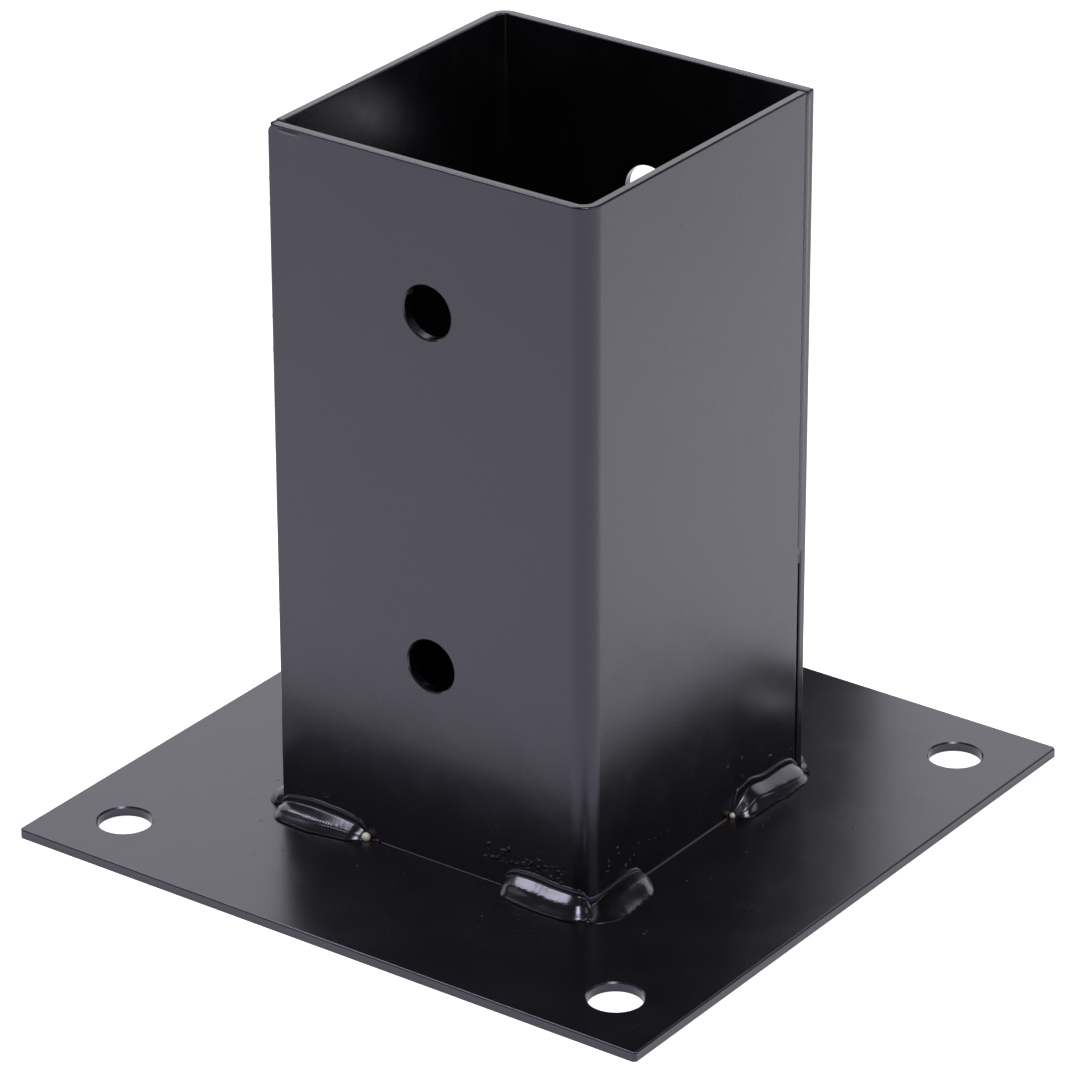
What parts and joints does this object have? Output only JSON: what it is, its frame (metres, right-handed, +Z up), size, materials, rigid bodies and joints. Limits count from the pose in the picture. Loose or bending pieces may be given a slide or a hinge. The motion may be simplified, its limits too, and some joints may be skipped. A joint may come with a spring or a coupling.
{
  "type": "timber post base",
  "caption": "Surface-mounted steel base for a square timber post: an open square sleeve of folded sheet, welded on a flat plate with anchor holes.",
  "frame": {"origin": "centre of the base plate's underside", "axes": "+Z up along the post; -Y and +Y are the sleeve walls with bolt holes; +X is the plain wall beside the front bend"},
  "size_m": [0.15, 0.15, 0.15],
  "materials": {
    "coated_plate": "black satin powder coat on steel plate",
    "coated_sleeve": "black satin powder coat on folded steel sheet",
    "coated_weld": "black glossy powder coat over weld metal"
  },
  "bodies": {
    "root": {"base_plate": "coated_plate", "front_angle": "coated_sleeve", "rear_angle": "coated_sleeve", "seam_weld_right": "coated_weld", "seam_weld_left": "coated_weld", "foot_weld_front_seam": "coated_weld", "foot_weld_front_bend": "coated_weld", "foot_weld_right_seam": "coated_weld", "foot_weld_right_bend": "coated_weld", "foot_weld_rear_seam": "coated_weld", "foot_weld_rear_bend": "coated_weld", "foot_weld_left_seam": "coated_weld", "foot_weld_left_bend": "coated_weld"}
  },
  "joints": []
}
